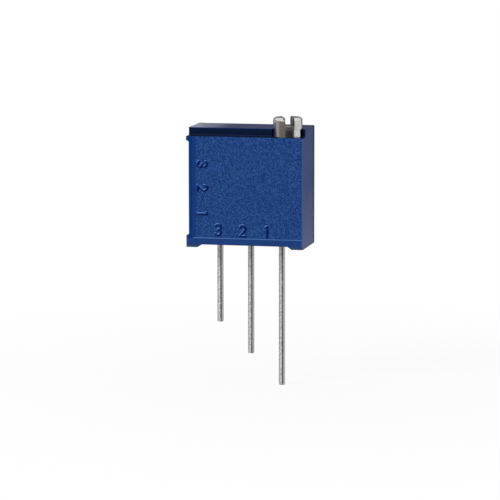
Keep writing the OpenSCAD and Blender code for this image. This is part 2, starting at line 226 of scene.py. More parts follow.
def make_handling():
    """Marks of moulding and handling: soft shade, fine rubs and settled dust."""
    bench, given, out = effect("handling", [("Patch", NUMBER, 2.0 * MM)],
                               [("Shade", NUMBER), ("Rubs", NUMBER), ("Dust", NUMBER)])
    place = bench.place()
    patch = bench.math("DIVIDE", 1.0, given["Patch"])
    bench.feed(out["Shade"], bench.range(bench.cloud(place, patch, detail=3.0, roughness=0.6), *SHADE))
    long_way = bench.vector("MULTIPLY", place, RUB_STRETCH)
    streaks = bench.cloud(long_way, bench.times(patch, RUB_FINENESS), detail=4.0, roughness=0.7)
    bench.feed(out["Rubs"], bench.range(streaks, *RUBS))
    up = bench.parts(bench.normal())[2]
    flecks = bench.range(bench.cloud(place, FLECKS_PER_METRE, detail=2.0, roughness=0.6), *FLECKS)
    bench.feed(out["Dust"], bench.times(bench.range(up, *FACING_UP), flecks))
    return bench.tree


def make_drawn():
    """Fine lines along Z, as the die leaves them on wire and rolls on strip."""
    bench, given, out = effect("drawn lines", [("Width", NUMBER, 0.03 * MM), ("Length", NUMBER, 3.0 * MM)],
                               [("Lines", NUMBER)])
    across = bench.math("DIVIDE", 1.0, given["Width"])
    along = bench.math("DIVIDE", 1.0, given["Length"])
    spacing = bench.put("CombineXYZ", {"X": across, "Y": across, "Z": along}).outputs[0]
    stretched = bench.vector("MULTIPLY", bench.place(), spacing)
    bench.feed(out["Lines"], bench.cloud(stretched, 1.0, detail=3.0, roughness=0.6))
    return bench.tree


def make_turned():
    """Lathe lines round an upright axis: rings on its ends and along its side."""
    bench, given, out = effect("turned lines", [("Axis", VECTOR, (0, 0, 0)), ("Spacing", NUMBER, 0.03 * MM)],
                               [("Lines", NUMBER), ("Turn", NUMBER), ("Radius", NUMBER)])
    x, y, z = bench.parts(bench.vector("SUBTRACT", bench.place(), given["Axis"]))
    radius = bench.math("SQRT", bench.math("ADD", bench.times(x, x), bench.times(y, y)))
    rings = bench.put("CombineXYZ", {"X": radius, "Y": z}).outputs[0]
    per_line = bench.math("DIVIDE", 1.0, given["Spacing"])
    bench.feed(out["Lines"], bench.cloud(rings, per_line, detail=2.0, roughness=0.6))
    bench.feed(out["Turn"], bench.math("DIVIDE", bench.math("ARCTAN2", y, x), 2 * math.pi))
    bench.feed(out["Radius"], radius)
    return bench.tree


ZONE = make_zone()
GRAIN = make_grain()
HANDLING = make_handling()
DRAWN = make_drawn()
TURNED = make_turned()

# Where drawn and turned lines pass from their smooth side to their rough one
LINES = (0.3, 0.7)


def finish(name, roughness, colour, metallic=0.0, specular=0.5):
    """A material with the inputs of its Principled shader, and the bench to finish it on."""
    material = bpy.data.materials.new(name)
    material.use_nodes = True
    material.diffuse_color = (*colour, 1.0)
    shader = material.node_tree.nodes["Principled BSDF"].inputs
    shader["Base Color"].default_value = (*colour, 1.0)
    shader["Roughness"].default_value = roughness
    shader["Metallic"].default_value = metallic
    shader["Specular IOR Level"].default_value = specular
    return material, Bench(material.node_tree), shader


def relief(bench, shader, height, depth, normal=None):
    """Fine relief of a given depth, on the piece's own normal or on another."""
    inputs = {"Height": height, "Distance": depth}
    if normal is not None:
        inputs["Normal"] = normal
    bench.feed(shader["Normal"], bench.put("Bump", inputs).outputs[0])


CASE_BLUE = (0.008, 0.043, 0.190)
CASE_PALE = (0.030, 0.095, 0.300)
CASE_DEEP = (0.005, 0.034, 0.165)
DUST_GREY = (0.25, 0.27, 0.32)
PANEL_BLUE = (0.002, 0.029, 0.142)
PANEL_PALE = (0.026, 0.088, 0.310)
PANEL_DEEP = (0.001, 0.023, 0.115)
STRIP_BLUE = (0.000, 0.032, 0.172)

# The skin that a polished mould leaves: the plastic's own shine and a coat's gloss over it
CASE_SHINE = 0.075
CASE_GLOSS = 0.35
CASE_SATIN = 0.29
CASE_ROUGHNESS = (0.24, 0.34)
CASE_RELIEF = 0.0012 * MM
# Where the plastic's flow turns from deep to plain blue, and how far wear shows
FLOW = (0.15, 0.85)
WEAR_SHARE = 0.2

OPEN = 1.0
FACE = 0.02 * MM


def region(colour, share=1.0, rim=FACE, gloss=1.0, left=-OPEN, right=OPEN, front=-OPEN, rear=OPEN,
           low=-OPEN, high=OPEN):
    """A part of the case that differs: its box, soft rim, colour and the gloss that it keeps."""
    return (left, front, low), (right, rear, high), rim, share, colour, gloss


CASE_REGIONS = [
    # right side: painted light, a lighter blue on this face
    region((0.006, 0.052, 0.245), left=case_high.x - 0.03 * MM),
    # left strip of the front: painted shade, a darker and deeper blue, without gloss
    region((0.000, 0.030, 0.155), rim=0.05 * MM, gloss=0.0, right=panel_left,
           rear=case_low.y + 0.08 * MM, low=panel_bottom, high=panel_top),
    # crease along the foot of the panel: painted highlight, a pale line
    region((0.050, 0.130, 0.340), share=0.9, left=panel_left, rear=panel_y + 0.01 * MM,
           low=panel_bottom - 0.02 * MM, high=panel_bottom + 0.23 * MM),
    # upright corner beside the panel: painted highlight along the rounded edge
    region((0.070, 0.150, 0.360), share=0.6, rim=0.03 * MM, left=panel_right - 0.01 * MM,
           rear=case_low.y + 0.16 * MM, low=0, high=panel_top),
    # top: painted shade, a darker blue on the top face
    region((0.003, 0.018, 0.095), low=case_high.z - FACE),
    # right end of the top: painted reflection, a purplish tint that also runs down the side
    region((0.014, 0.018, 0.130), share=0.7, rim=0.3 * MM, left=case_high.x - 0.9 * MM,
           low=case_high.z - 0.32 * MM),
    # rear edge of the right side: painted shade, a dark band with less gloss
    region((0.012, 0.024, 0.080), share=0.6, rim=0.9 * MM, gloss=0.43, left=case_high.x - 0.9 * MM,
           front=case_high.y - 1.5 * MM),
    # outer edge of the left foot: painted sheen, a greyer tint
    region((0.055, 0.065, 0.170), share=0.9, rim=0.1 * MM, right=case_low.x + 0.16 * MM,
           rear=case_low.y + 0.2 * MM, high=panel_bottom + 0.4 * MM),
    # outer end of the upper foot on the left side: painted shade, darker and with less gloss
    region((0.014, 0.028, 0.080), share=0.85, rim=0.08 * MM, gloss=0.43, right=case_low.x + 0.22 * MM,
           rear=case_low.y + 0.25 * MM, low=panel_top - 0.6 * MM, high=panel_top + 0.4 * MM),
    # soles of the feet
    region((0.026, 0.055, 0.125), share=0.8, rim=0.2 * MM, high=0.33 * MM),
]

# Ledge, step wall and pocket: painted darker as painted shade in the step, and smoother
LEDGE_LOW = (case_low.x, case_low.y - 0.01 * MM, panel_top - 0.06 * MM)
LEDGE_HIGH = (case_high.x - 0.03 * MM, case_low.y + POCKET_BACK, case_high.z - 0.04 * MM)
LEDGE_RIM = 0.03 * MM
LEDGE_PAINTED_SHADE = (0.0015, 0.0095, 0.038)
LEDGE_GLOSS = 0.29
LEDGE_ROUGHNESS = 0.5

# Painted reflection: a pale sheen low on the right side, weaker towards the rear
SIDE_FADE = (5.0 * MM, 0.4 * MM)
SIDE_FACE = (case_high.x - 0.03 * MM, case_high.x - 0.01 * MM)
SIDE_REAR = (case_high.y - 0.4 * MM, case_high.y - 1.1 * MM)
SIDE_SHARE = 0.62
SIDE_REAR_SHARE = 0.35 * SIDE_SHARE
SIDE_PAINTED_SHEEN = (0.150, 0.170, 0.380)

# Painted reflection on the left end of the top, in patches; the top there sinks slightly to the front
TOP_FADE = (-1.75 * MM, -4.5 * MM)
TOP_PATCH = 1.1 * MM
TOP_PATCHES = (0.3, 0.7)
TOP_LEAST = 0.35
TOP_PAINTED_SHEEN = (0.335, 0.362, 0.45)
TOP_SINK = math.tan(math.radians(11))


def case_plastic():
    """Smooth moulded blue: borders, feet, sides, step and covers."""
    material, bench, shader = finish("case plastic", roughness=0.3, specular=CASE_SHINE, colour=CASE_BLUE)
    shader["Coat Roughness"].default_value = CASE_SATIN
    wear = bench.use(HANDLING, Patch=2.2 * MM)
    flow = bench.use(DRAWN, Width=0.6 * MM, Length=9 * MM)["Lines"]
    tone = bench.blend(bench.range(flow, *FLOW), CASE_DEEP, CASE_BLUE)
    tone = bench.blend(bench.times(wear["Rubs"], WEAR_SHARE), tone, CASE_PALE)
    tone = bench.blend(bench.times(wear["Dust"], WEAR_SHARE), tone, DUST_GREY)
    gloss = CASE_GLOSS
    for low, high, rim, share, colour, kept in CASE_REGIONS:
        mask = bench.use(ZONE, Low=low, High=high, Rim=rim)["Mask"]
        tone = bench.blend(bench.times(mask, share), tone, colour)
        if kept < 1.0:
            gloss = bench.times(gloss, bench.between(mask, 1.0, kept))
    ledge = bench.use(ZONE, Low=LEDGE_LOW, High=LEDGE_HIGH, Rim=LEDGE_RIM)["Mask"]
    # Painted shade on the ledge, step wall and pocket
    tone = bench.blend(ledge, tone, LEDGE_PAINTED_SHADE)
    bench.feed(shader["Coat Weight"], bench.times(gloss, bench.between(ledge, 1.0, LEDGE_GLOSS)))
    across, deep, up = bench.parts(bench.place())
    # Painted reflection: pale sheen low on the right side
    side_sheen = bench.times(bench.range(across, *SIDE_FACE), bench.range(up, *SIDE_FADE),
                       bench.range(deep, *SIDE_REAR, SIDE_REAR_SHARE, SIDE_SHARE))
    tone = bench.blend(side_sheen, tone, SIDE_PAINTED_SHEEN)
    sunk = bench.times(bench.range(up, case_high.z - FACE, case_high.z), bench.range(across, *TOP_FADE))
    patches = bench.cloud(bench.place(), 1 / TOP_PATCH, detail=4.0, roughness=0.65)
    # Painted reflection: pale sheen in patches on the left end of the top
    top_sheen = bench.times(sunk, bench.range(patches, *TOP_PATCHES, TOP_LEAST, 1.0))
    bench.feed(shader["Base Color"], bench.blend(top_sheen, tone, TOP_PAINTED_SHEEN))
    satin = bench.between(wear["Shade"], *CASE_ROUGHNESS)
    bench.feed(shader["Roughness"], bench.times(satin, bench.between(ledge, 1.0, LEDGE_ROUGHNESS)))
    lean = bench.put("CombineXYZ", {"Y": bench.times(sunk, -TOP_SINK)}).outputs[0]
    normal = bench.vector("NORMALIZE", bench.vector("ADD", bench.normal(), lean))
    relief(bench, shader, bench.use(GRAIN, Size=0.16 * MM)["Height"], CASE_RELIEF, normal)
    return material


# Numerals: the way that the painted light comes from, and how squarely a flank faces it where it turns
# pale (painted highlight), dark (painted shade) or glossy
PAINTED_LIGHT_WAY = (-0.40, 0, 0.92)
LIT_FLANK = (0.20, 0.65)
SHADED_FLANK = (0.15, -0.20)
GLOSSY_FLANK = (0.0, 0.5)
NUMERAL_SHINE = 0.05
NUMERAL_GLOSS = 0.4
NUMERAL_DEEP = (0.002, 0.024, 0.138)
NUMERAL_BLUE = (0.003, 0.032, 0.172)
NUMERAL_PAINTED_LIGHT = (0.090, 0.210, 0.520)
NUMERAL_PAINTED_SHADE = (0.000, 0.013, 0.112)
NUMERAL_ROUGHNESS = (0.26, 0.36)


def numeral_plastic():
    """The mould's polished strokes: painted highlight on their upper flanks, painted shade below."""
    material, bench, shader = finish("numeral plastic", roughness=0.3, specular=NUMERAL_SHINE,
                                     colour=CASE_BLUE)
    shader["Coat Roughness"].default_value = CASE_SATIN
    wear = bench.use(HANDLING, Patch=0.5 * MM)
    tone = bench.blend(wear["Shade"], NUMERAL_DEEP, NUMERAL_BLUE)
    toward_light = bench.dot(bench.normal(), PAINTED_LIGHT_WAY)
    # Painted highlight on flanks that face the light's way, painted shade on those that face away
    tone = bench.blend(bench.range(toward_light, *LIT_FLANK), tone, NUMERAL_PAINTED_LIGHT)
    tone = bench.blend(bench.range(toward_light, *SHADED_FLANK), tone, NUMERAL_PAINTED_SHADE)
    bench.feed(shader["Coat Weight"], bench.range(toward_light, *GLOSSY_FLANK, 0.0, NUMERAL_GLOSS))
    bench.feed(shader["Base Color"], tone)
    bench.feed(shader["Roughness"], bench.between(wear["Shade"], *NUMERAL_ROUGHNESS))
    relief(bench, shader, bench.use(GRAIN, Size=0.12 * MM)["Height"], depth=0.001 * MM)
    return material


CREST_SHARE = 0.9
STRIP_SHARE = 0.85
PANEL_ROUGHNESS = (0.52, 0.40)


def panel_plastic():
    """The same blue off a spark-eroded mould face."""
    material, bench, shader = finish("panel plastic", roughness=0.5, specular=0.15, colour=PANEL_BLUE)
    grain = bench.use(GRAIN, Size=0.075 * MM)
    wear = bench.use(HANDLING, Patch=1.6 * MM)
    tone = bench.blend(wear["Shade"], PANEL_DEEP, PANEL_BLUE)
    tone = bench.blend(bench.times(grain["Crests"], CREST_SHARE), tone, PANEL_PALE)
    across = bench.parts(bench.place())[0]
    strip = bench.range(across, panel_left + FILLET, panel_left + 0.1 * MM, 0.0, STRIP_SHARE)
    bench.feed(shader["Base Color"], bench.blend(strip, tone, STRIP_BLUE))
    bench.feed(shader["Roughness"], bench.between(grain["Crests"], *PANEL_ROUGHNESS))
    relief(bench, shader, grain["Height"], depth=0.008 * MM)
    return material


def epoxy():
    """Cured dark blue filler, drawn up a little at its rim."""
    material, bench, shader = finish("epoxy", roughness=0.2, colour=(0.010, 0.030, 0.085))
    wear = bench.use(HANDLING, Patch=1.2 * MM)
    deep = (0.008, 0.024, 0.070)
    pale = (0.014, 0.040, 0.110)
    bench.feed(shader["Base Color"], bench.blend(wear["Shade"], deep, pale))
    ripples = bench.cloud(bench.place(), scale=1800.0)
    relief(bench, shader, ripples, depth=0.02 * MM)
    return material


def ceramic():
    """Fired alumina with faint grain and a few grey inclusions."""
    material, bench, shader = finish("ceramic", roughness=0.62, specular=0.45, colour=(0.80, 0.79, 0.75))
    grain = bench.use(GRAIN, Size=0.05 * MM)
    wear = bench.use(HANDLING, Patch=0.9 * MM)
    cream = (0.76, 0.75, 0.70)
    white = (0.84, 0.83, 0.79)
    grey = (0.4, 0.4, 0.4)
    grey_share = 0.4
    tone = bench.blend(wear["Shade"], cream, white)
    bench.feed(shader["Base Color"], bench.blend(bench.times(wear["Dust"], grey_share), tone, grey))
    relief(bench, shader, grain["Height"], depth=0.002 * MM)
    return material


def resistor_film():
    """Cermet film: black glass with fine metal grain."""
    material, bench, shader = finish("resistor film", roughness=0.38, colour=(0.010, 0.009, 0.009))
    grain = bench.use(GRAIN, Size=0.04 * MM)
    glass = (0.008, 0.007, 0.007)
    metal = (0.05, 0.045, 0.04)
    bench.feed(shader["Base Color"], bench.blend(grain["Crests"], glass, metal))
    relief(bench, shader, grain["Height"], depth=0.0015 * MM)
    return material


def silver_film():
    """Printed and fired silver: matt, with the mesh's faint weave."""
    material, bench, shader = finish("silver film", roughness=0.42, metallic=0.9, colour=(0.70, 0.68, 0.63))
    weave = bench.put("TexWave", {"Vector": bench.place(), "Scale": 3000.0, "Distortion": 2.0}).outputs[1]
    grain = bench.use(GRAIN, Size=0.06 * MM)
    dull = (0.62, 0.60, 0.55)
    bright = (0.76, 0.74, 0.69)
    weave_roughness = (0.36, 0.50)
    bench.feed(shader["Base Color"], bench.blend(grain["Crests"], dull, bright))
    bench.feed(shader["Roughness"], bench.between(weave, *weave_roughness))
    relief(bench, shader, grain["Height"], depth=0.0015 * MM)
    return material


# Leads: the tin's greys, the flank painted darker as a painted dark reflection, and the front that has gone
# matt
TIN_DULL = (0.88, 0.88, 0.88)
TIN_BRIGHT = (0.96, 0.96, 0.96)
TIN_SPECK = (0.52, 0.52, 0.52)
TIN_PAINTED_DARK_REFLECTION = (0.54, 0.54, 0.54)
SPECK_SHARE = 0.8
FLANK = (0.30, 0.70)
MATT_SIDE = (-0.12, -0.99, 0)
MATT_FRONT = (0.91, 0.97)
TIN_METALLIC = (0.97, 0.47)
TIN_ROUGHNESS = (0.24, 0.36)


def tinned_lead():
    """Hot-dipped wire: drawn lines under a smooth coat, its front gone matt."""
    material, bench, shader = finish("tinned lead", roughness=0.3, metallic=1.0, colour=(0.86, 0.85, 0.83))
    lines = bench.use(DRAWN, Width=0.06 * MM, Length=4 * MM)["Lines"]
    wear = bench.use(HANDLING, Patch=1.4 * MM)
    tone = bench.blend(wear["Shade"], TIN_DULL, TIN_BRIGHT)
    specks = bench.use(GRAIN, Size=0.2 * MM)["Crests"]
    tone = bench.blend(bench.times(specks, SPECK_SHARE), tone, TIN_SPECK)
    bench.feed(shader["Roughness"], bench.range(lines, *LINES, *TIN_ROUGHNESS))
    normal = bench.normal()
    flank = bench.parts(normal)[0]
    # Painted dark reflection on the flank that faces +x
    bench.feed(shader["Base Color"], bench.blend(bench.range(flank, *FLANK), tone, TIN_PAINTED_DARK_REFLECTION))
    front = bench.dot(normal, MATT_SIDE)
    bench.feed(shader["Metallic"], bench.range(front, *MATT_FRONT, *TIN_METALLIC))
    relief(bench, shader, lines, depth=0.006 * MM)
    return material


def solder_metal():
    """Reflowed joint: bright, with a soft cooled skin."""
    material, bench, shader = finish("solder", roughness=0.24, metallic=1.0, colour=(0.70, 0.70, 0.69))
    wear = bench.use(HANDLING, Patch=0.6 * MM)
    dull = (0.58, 0.58, 0.57)
    bright = (0.76, 0.76, 0.75)
    bench.feed(shader["Base Color"], bench.blend(wear["Shade"], dull, bright))
    skin = bench.cloud(bench.place(), scale=4000.0, detail=3.0)
    relief(bench, shader, skin, depth=0.02 * MM)
    return material


HEAD_RADIUS = 1.17 * MM
HEAD_ROUND = 0.24 * MM
SLOT_WIDTH = 0.73 * MM
SLOT_DEPTH = 0.69 * MM
SLOT_TURN = math.radians(20.5)
slot_floor = screw_top - SLOT_DEPTH
# Threaded length, and how softly the thread runs out
SHANK = (1.25 * MM, 7.7 * MM)
RUN_OUT = 0.1 * MM

NICKEL_DULL = (0.58, 0.57, 0.555)
NICKEL_BRIGHT = (0.77, 0.765, 0.76)
FROST = (0.38, 0.38, 0.38)
FROST_SHARE = 0.45
NICKEL_RUB = (0.35, 0.33, 0.295)
NICKEL_RUB_SHARE = 0.5
NICKEL_ROUGHNESS = (0.14, 0.26)

# Painted dark reflection along one edge of the slot: its width, the share of it that is full, and its inner
# side and height
DARK_EDGE_WIDTH = 0.23 * MM
DARK_EDGE_FULL = 0.6
DARK_EDGE_SIDE = -0.1 * MM
DARK_EDGE_HEIGHT = (screw_top - 0.3 * MM, screw_top - 0.1 * MM)
DARK_EDGE_PAINTED_GREY = (0.09, 0.09, 0.09)
DARK_EDGE_SHARE = 0.9

# Sawn walls and floor of the slot, painted darker deeper down as painted shade
SLOT_SHADE_SPREAD = 0.015 * MM
SLOT_SHADE_HEIGHT = (screw_top - 0.10 * MM, screw_top - 0.24 * MM)
SLOT_SHADE_GREY = (0.20, 0.195, 0.19)

# Dull patch on the side below the slot, a painted dark reflection: its length, the share of it that is full,
# and its soft edges
DULL_FOOT = 0.32 * MM
DULL_FULL = 0.6
DULL_SIDE = 0.1 * MM
DULL_TOP = 0.02 * MM
DULL_PATCH_PAINTED_DARK = (0.32, 0.32, 0.31)
DULL_METALLIC = 0.8

# Relief of the head: lathe lines, crowned face and rounded shoulder
LATHE_SHARE = 0.02
CROWN_POWER = 2.0
CROWN_SHARE = 1.5
SHOULDER = (screw_top - 0.42 * MM, screw_top - 0.12 * MM)
SHOULDER_SHARE = 0.4
SCREW_RELIEF = 0.12 * MM


def nickel():
    """Turned screw under nickel: thread on the shank, sawn slot, slightly crowned face."""
    material, bench, shader = finish("nickel", roughness=0.24, metallic=1.0, colour=(0.66, 0.64, 0.60))
    lathe = bench.use(TURNED, Axis=screw_axis, Spacing=0.045 * MM)
    wear = bench.use(HANDLING, Patch=0.8 * MM)
    height = bench.parts(bench.place())[2]
    tone = bench.blend(wear["Shade"], NICKEL_DULL, NICKEL_BRIGHT)
    frost = bench.times(bench.use(GRAIN, Size=0.10 * MM)["Crests"], FROST_SHARE)
    tone = bench.blend(frost, tone, FROST)
    tone = bench.blend(bench.times(wear["Rubs"], NICKEL_RUB_SHARE), tone, NICKEL_RUB)

    across_slot = (math.cos(SLOT_TURN), math.sin(SLOT_TURN), 0)
    offset = bench.dot(bench.vector("SUBTRACT", bench.place(), screw_axis), across_slot)
    wall = SLOT_WIDTH / 2
    # Painted dark reflection beside one edge of the slot
    dark_edge = bench.times(bench.range(offset, -wall - DARK_EDGE_WIDTH, -wall - DARK_EDGE_FULL * DARK_EDGE_WIDTH),
                       bench.range(offset, 0.0, DARK_EDGE_SIDE), bench.range(height, *DARK_EDGE_HEIGHT), DARK_EDGE_SHARE)
    tone = bench.blend(dark_edge, tone, DARK_EDGE_PAINTED_GREY)
    offset = bench.math("ABSOLUTE", offset)
    # Painted shade deep in the slot
    slot_shade = bench.times(bench.range(offset, wall + SLOT_SHADE_SPREAD, wall),
                       bench.range(height, slot_floor - SLOT_SHADE_SPREAD, slot_floor),
                       bench.range(height, *SLOT_SHADE_HEIGHT))
    tone = bench.blend(slot_shade, tone, SLOT_SHADE_GREY)
    # Painted dark reflection on the side below the slot, also less metallic
    dull = bench.times(bench.range(offset, wall + DULL_SIDE, wall),
                       bench.range(height, slot_floor - DULL_FOOT, slot_floor - DULL_FULL * DULL_FOOT),
                       bench.range(height, slot_floor + DULL_TOP, slot_floor))
    tone = bench.blend(dull, tone, DULL_PATCH_PAINTED_DARK)
    bench.feed(shader["Metallic"], bench.between(dull, 1.0, DULL_METALLIC))
    bench.feed(shader["Base Color"], tone)
    bench.feed(shader["Roughness"], bench.range(lathe["Lines"], *LINES, *NICKEL_ROUGHNESS))

    climb = bench.math("SUBTRACT", bench.math("DIVIDE", height, THREAD_PITCH), lathe["Turn"])
    groove = bench.math("PINGPONG", climb, 0.5)
    threaded = bench.times(bench.range(height, SHANK[0], SHANK[0] + RUN_OUT),
                           bench.range(height, SHANK[1], SHANK[1] - RUN_OUT))
    surface = bench.math("ADD", bench.times(lathe["Lines"], LATHE_SHARE), bench.times(groove, threaded))
    flat = bench.math("MINIMUM", lathe["Radius"], HEAD_RADIUS - HEAD_ROUND)
    crown = bench.math("POWER", bench.math("DIVIDE", flat, HEAD_RADIUS), CROWN_POWER)
    shoulder = bench.math("POWER", bench.range(height, *SHOULDER), CROWN_POWER)
    crown = bench.math("ADD", crown, bench.times(shoulder, SHOULDER_SHARE))
    relief(bench, shader, bench.math("SUBTRACT", surface, bench.times(crown, CROWN_SHARE)), SCREW_RELIEF)
    return material


def seal_rubber():
    """Silicone ring with a faint bloom."""
    material, bench, shader = finish("seal rubber", roughness=0.55, specular=0.4,
                                     colour=(0.30, 0.022, 0.010))
    wear = bench.use(HANDLING, Patch=0.5 * MM)
    red = (0.26, 0.018, 0.008)
    bloom = (0.36, 0.040, 0.022)
    bench.feed(shader["Base Color"], bench.blend(wear["Shade"], red, bloom))
    relief(bench, shader, bench.use(GRAIN, Size=0.03 * MM)["Height"], depth=0.001 * MM)
    return material


def rolled_strip(name, roughness, colour, line_width, line_length, dull, bright, line_roughness, depth):
    """Sheet metal with its rolling lines."""
    material, bench, shader = finish(name, roughness=roughness, metallic=1.0, colour=colour)
    lines = bench.use(DRAWN, Width=line_width, Length=line_length)["Lines"]
    bench.feed(shader["Base Color"], bench.blend(lines, dull, bright))
    bench.feed(shader["Roughness"], bench.range(lines, *LINES, *line_roughness))
    relief(bench, shader, lines, depth)
    return material


def carriage_plastic():
    """Natural moulded slider, slightly translucent-looking and satin."""
    material, bench, shader = finish("carriage plastic", roughness=0.48, specular=0.4,
                                     colour=(0.74, 0.69, 0.57))
    wear = bench.use(HANDLING, Patch=1.0 * MM)
    deep = (0.70, 0.64, 0.51)
    pale = (0.79, 0.75, 0.64)
    bench.feed(shader["Base Color"], bench.blend(wear["Shade"], deep, pale))
    relief(bench, shader, bench.use(GRAIN, Size=0.06 * MM)["Height"], depth=0.001 * MM)
    return material


stamped_steel = rolled_strip("stamped steel", roughness=0.34, colour=(0.50, 0.50, 0.51),
                             line_width=0.02 * MM, line_length=0.8 * MM,
                             dull=(0.42, 0.42, 0.43), bright=(0.58, 0.58, 0.59),
                             line_roughness=(0.28, 0.42), depth=0.001 * MM)
contact_alloy = rolled_strip("contact alloy", roughness=0.24, colour=(0.78, 0.56, 0.24),
                             line_width=0.015 * MM, line_length=0.6 * MM,
                             dull=(0.68, 0.46, 0.18), bright=(0.84, 0.64, 0.32),
                             line_roughness=(0.18, 0.32), depth=0.0008 * MM)

finishes = {
    "case": case_plastic(),
    "epoxy": epoxy(),
    "ceramic": ceramic(),
    "resistor_film": resistor_film(),
    "silver_film": silver_film(),
    "tinned_lead": tinned_lead(),
    "solder": solder_metal(),
    "nickel": nickel(),
    "seal_rubber": seal_rubber(),
    "steel": stamped_steel,
    "carriage_plastic": carriage_plastic(),
    "contact_alloy": contact_alloy,
}
for subpart in frame["record"]["subparts"]:
    for slot in frame["nodes"][subpart["node"]].material_slots:
        slot.link = "OBJECT"
        slot.material = finishes[subpart["material_slot"]]


def add_piece(name, points, faces, material):
    """A smooth-shaded mesh piece that rides on the case."""
    mesh = bpy.data.meshes.new(name)
    mesh.from_pydata(points, [], faces)
    mesh.validate()
    mesh.polygons.foreach_set("use_smooth", [True] * len(mesh.polygons))
    mesh.materials.append(material)
    piece = bpy.data.objects.new(name, mesh)
    bpy.context.scene.collection.objects.link(piece)
    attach(piece, "case")


GRAIN_STEP = 0.036 * MM
GRAIN_SIZE = 0.085 * MM
GRAIN_HEIGHT = 0.024 * MM
FINER = 2.1
COARSE_SHARE = 0.55
FINE_SHARE = 0.45
SKIN_LIFT = 0.008 * MM
SKIN_SINK = 0.03 * MM


def grain_height(x, z):
    """How far the grained face stands out of the panel: grain that fades to the rim, and the left fillet."""
    coarse = noise.noise(Vector((x, 0, z)) / GRAIN_SIZE)
    fine = noise.noise(Vector((x, GRAIN_SIZE, z)) * FINER / GRAIN_SIZE)
    rim = min(x - panel_left, panel_right - x, z - panel_bottom, panel_top - z) / GRAIN_SIZE
    slope = max(0, 1 - (x - panel_left) / FILLET)
    fillet = (PANEL_RECESS - SKIN_LIFT) * slope * slope * (3 - 2 * slope)
    return SKIN_LIFT + fillet + GRAIN_HEIGHT * min(1, rim) * (COARSE_SHARE * coarse + FINE_SHARE * fine)


def front_panel():
    """The grained face of the front panel, a thin closed skin sunk into it."""
    columns = round((panel_right - panel_left) / GRAIN_STEP)
    rows = round((panel_top - panel_bottom) / GRAIN_STEP)
    points, faces = [], []
    for row in range(rows + 1):
        z = panel_bottom + (panel_top - panel_bottom) * row / rows
        for column in range(columns + 1):
            x = panel_left + (panel_right - panel_left) * column / columns
            points.append((x, panel_y - grain_height(x, z), z))
    wide = columns + 1
    for row in range(rows):
        for column in range(columns):
            corner = row * wide + column
            faces.append((corner, corner + 1, corner + 1 + wide, corner + wide))
    rim = list(range(wide))
    rim += [row * wide + columns for row in range(1, rows + 1)]
    rim += [rows * wide + column for column in range(columns - 1, -1, -1)]
    rim += [row * wide for row in range(rows - 1, 0, -1)]
    back = len(points)
    points += [(points[i][0], panel_y + SKIN_SINK, points[i][2]) for i in rim]
    middle = len(points)
    points.append(((panel_left + panel_right) / 2, panel_y + SKIN_SINK, (panel_bottom + panel_top) / 2))
    for i in range(len(rim)):
        j = (i + 1) % len(rim)
        faces.append((rim[j], rim[i], back + i, back + j))
        faces.append((back + j, back + i, middle))
    add_piece("front_panel_grain", points, faces, panel_plastic())


STROKE = 0.215 * MM
NUMERAL_PROUD = 0.10 * MM
ROW_HEIGHT = 1.06 * MM
COLUMN_HEIGHT = 0.97 * MM
NUMERAL_WIDTH = 0.65 * MM
half_wide = (NUMERAL_WIDTH - STROKE) / 2
ARC_STEPS = 18
# Ends of a 3's bowls and of a 2's bow, in degrees from the right
BOWL_END = 152
BOW_ENDS = (165, -32)
# A 2's bow and a 1's stem and flag, as shares of half the numeral's height or width
BOW_MIDDLE = 0.42
STEM_ACROSS = 0.2
FLAG_ACROSS = 0.5
FLAG_DOWN = 0.16


def arc(centre_up, from_angle, to_angle, radius_up):
    """Points of an arc whose middle lies on the numeral's upright centre line."""
    turn = to_angle - from_angle
    angles = [math.radians(from_angle + turn * i / ARC_STEPS) for i in range(ARC_STEPS + 1)]
    return [Vector((half_wide * math.cos(a), centre_up + radius_up * math.sin(a))) for a in angles]


def strokes(numeral, half_tall):
    """Centre lines of a numeral's strokes, from its middle: across and up."""
    if numeral == 3:
        bowl = half_tall / 2
        return [arc(bowl, BOWL_END, -90, bowl), arc(-bowl, 90, -BOWL_END, bowl)]
    if numeral == 2:
        low_left = Vector((-half_wide, -half_tall))
        low_right = Vector((half_wide, -half_tall))
        bow = arc(half_tall * BOW_MIDDLE, *BOW_ENDS, half_tall * (1 - BOW_MIDDLE))
        return [bow + [low_left], [low_left, low_right]]
    stem_top = Vector((half_wide * STEM_ACROSS, half_tall))
    stem_foot = stem_top - Vector((0, 2 * half_tall))
    flag = stem_top - Vector((half_wide * FLAG_ACROSS, half_tall * FLAG_DOWN))
    return [[flag, stem_top], [stem_top, stem_foot]]


RIDGE_SIDES = 16
TIP_ANGLES = [math.radians(degrees) for degrees in (22, 45, 66, 84)]
OUTWARD = Vector((0, -1, 0))


